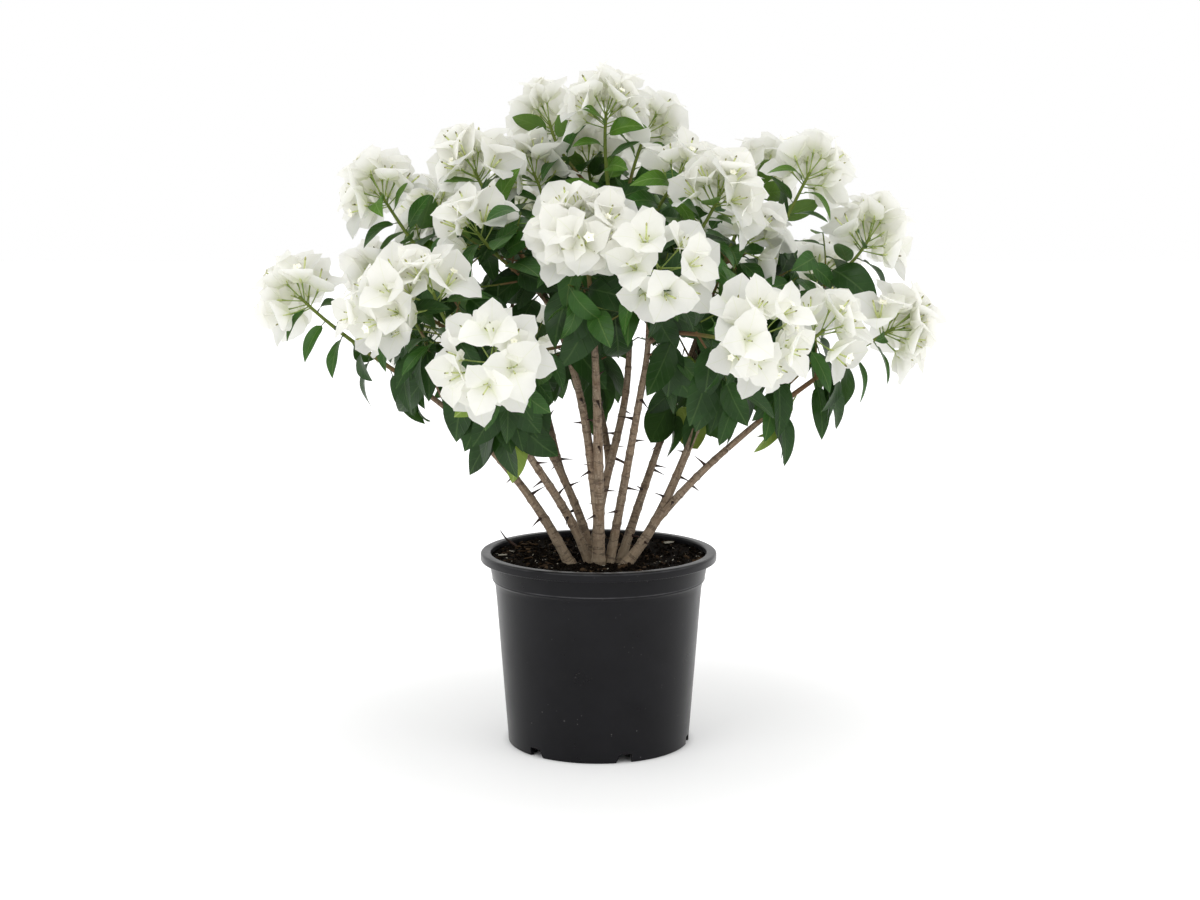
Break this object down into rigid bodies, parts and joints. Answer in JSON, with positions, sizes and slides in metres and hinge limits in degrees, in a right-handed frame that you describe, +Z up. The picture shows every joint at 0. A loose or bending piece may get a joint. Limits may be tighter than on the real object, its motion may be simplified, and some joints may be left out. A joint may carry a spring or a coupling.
{
  "type": "bougainvillea bush",
  "caption": "Potted flowering shrub: thorny canes fan out of a round pot into leafy shoots that end in rounded heads of papery white bracts.",
  "frame": {"origin": "centre of the flat disc under the pot, on the ground", "axes": "+Z up along the pot's axis, -Y towards the side seen from the front, +X to the right of that view"},
  "size_m": [0.7234, 0.6663, 0.7124],
  "materials": {
    "pot": "satin",
    "soil": "matte",
    "bark": "matte",
    "foliage": "satin"
  },
  "bodies": {
    "root": {"pot": "pot", "soil": "soil", "cane_left_low": "bark", "cane_left_front": "bark", "cane_left_back": "bark", "cane_centre": "bark", "cane_centre_back": "bark", "cane_right_front": "bark", "cane_right_back": "bark", "cane_right_up": "bark", "limb_centre_left": "bark", "limb_right_low": "bark", "limb_back_left": "bark", "limb_back": "bark", "limb_back_right": "bark", "mass_left_low": "foliage", "mass_left_front": "foliage", "mass_left_back": "foliage", "mass_centre": "foliage", "mass_centre_left": "foliage", "mass_centre_back": "foliage", "mass_right_front": "foliage", "mass_right_back": "foliage", "mass_right_up": "foliage", "mass_right_low": "foliage", "mass_back_left": "foliage", "mass_back": "foliage", "mass_back_right": "foliage"}
  },
  "joints": []
}
